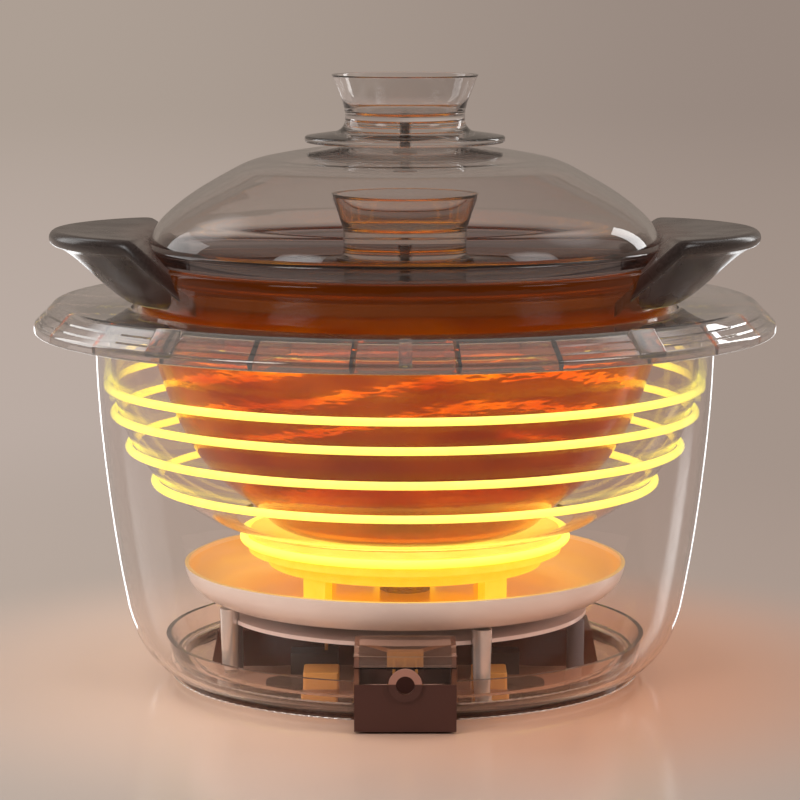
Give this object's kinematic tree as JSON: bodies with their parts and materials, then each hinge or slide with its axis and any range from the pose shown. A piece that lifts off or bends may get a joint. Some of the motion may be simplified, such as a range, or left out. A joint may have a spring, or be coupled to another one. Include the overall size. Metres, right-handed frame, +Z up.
{
  "type": "multicooker",
  "caption": "Round see-through electric stew pot: eared ceramic pot under a flat inner lid and a domed outer lid, in a clear heated base with a side coil.",
  "frame": {"origin": "centre of the base, on the surface it stands on", "axes": "+Z up, -Y towards the cord entry, +Y towards the control panel, X through the ears"},
  "size_m": [0.3, 0.3012, 0.2447],
  "materials": {
    "clear_shell": "clear moulded plastic, polished",
    "clear_ring": "clear moulded plastic, polished",
    "smoked_plastic": "smoked see-through plastic",
    "lid_glass": "clear tempered glass",
    "liner_glass": "clear heat-proof glass",
    "pot_glaze": "brown glaze, dark grey ears",
    "glowing_coil": "glowing quartz-like heating tube",
    "glowing_plate": "die-cast, lit yellow by the element",
    "dish_enamel": "white enamel",
    "pillar_chrome": "polished",
    "post_plastic": "dark grey, satin",
    "box_plastic": "dark brown, fine grain",
    "foot_rubber": "dark soft rubber",
    "board_green": "brown circuit board",
    "capacitor_tan": "tan epoxy",
    "terminal_brass": "satin brass",
    "screw_steel": "turned steel",
    "grommet_rubber": "light rubber",
    "block_ceramic": "white steatite",
    "button_plastic": "light grey, satin",
    "window_glass": "dark display window"
  },
  "bodies": {
    "base": {"rubber_feet": "foot_rubber", "foot_ring": "smoked_plastic", "base_tray": "clear_ring", "outer_shell": "clear_shell", "rim_ring": "clear_ring", "heating_liner": "liner_glass", "side_heating_coil": "glowing_coil", "coil_end_blocks": "block_ceramic", "reflector_dish": "dish_enamel", "standoffs": "pillar_chrome", "tray_screws": "screw_steel", "support_posts": "post_plastic", "shield_disc": "dish_enamel", "thermal_cutout": "block_ceramic", "heater_plate": "glowing_plate", "plate_heating_element": "glowing_coil", "sensor_guide": "screw_steel", "sensor_spring": "screw_steel", "power_board": "board_green", "power_cover": "smoked_plastic", "relays": "box_plastic", "film_capacitors": "capacitor_tan", "cord_box": "box_plastic", "cord_box_cover": "smoked_plastic", "cord_grommet": "grommet_rubber", "terminal_block": "terminal_brass", "terminal_pins": "terminal_brass", "lead_wires": "terminal_brass", "control_panel": "box_plastic", "display_window": "window_glass", "control_board": "board_green"},
    "sensor": {"sensor_cap": "pillar_chrome"},
    "button_1_body": {"button_1": "button_plastic"},
    "button_2_body": {"button_2": "button_plastic"},
    "button_3_body": {"button_3": "button_plastic"},
    "button_4_body": {"button_4": "button_plastic"},
    "pot": {"pot": "pot_glaze"},
    "inner_lid": {"inner_lid": "lid_glass", "inner_knob": "lid_glass", "inner_knob_screw": "screw_steel"},
    "outer_lid": {"outer_lid": "lid_glass", "outer_knob": "lid_glass", "outer_knob_screw": "screw_steel"}
  },
  "joints": [
    {"name": "pot_lift", "type": "slide", "parent": "base", "child": "pot", "axis": [0, 0, 1], "range_m": [0, 0.12]},
    {"name": "inner_lid_lift", "type": "slide", "parent": "pot", "child": "inner_lid", "axis": [0, 0, 1], "range_m": [0, 0.06]},
    {"name": "outer_lid_lift", "type": "slide", "parent": "inner_lid", "child": "outer_lid", "axis": [0, 0, 1], "range_m": [0, 0.06]},
    {"name": "sensor_press", "type": "slide", "parent": "base", "child": "sensor", "axis": [0, 0, 1], "range_m": [-0.003, 0], "stiffness_N_per_m": 300, "springref_m": 0.004, "deforming": ["sensor_spring"]},
    {"name": "button_1_press", "type": "slide", "parent": "base", "child": "button_1_body", "axis": [0, -1, 0], "range_m": [0, 0.0012], "stiffness_N_per_m": 400, "springref_m": -0.001},
    {"name": "button_2_press", "type": "slide", "parent": "base", "child": "button_2_body", "axis": [0, -1, 0], "range_m": [0, 0.0012], "stiffness_N_per_m": 400, "springref_m": -0.001},
    {"name": "button_3_press", "type": "slide", "parent": "base", "child": "button_3_body", "axis": [0, -1, 0], "range_m": [0, 0.0012], "stiffness_N_per_m": 400, "springref_m": -0.001},
    {"name": "button_4_press", "type": "slide", "parent": "base", "child": "button_4_body", "axis": [0, -1, 0], "range_m": [0, 0.0012], "stiffness_N_per_m": 400, "springref_m": -0.001}
  ]
}
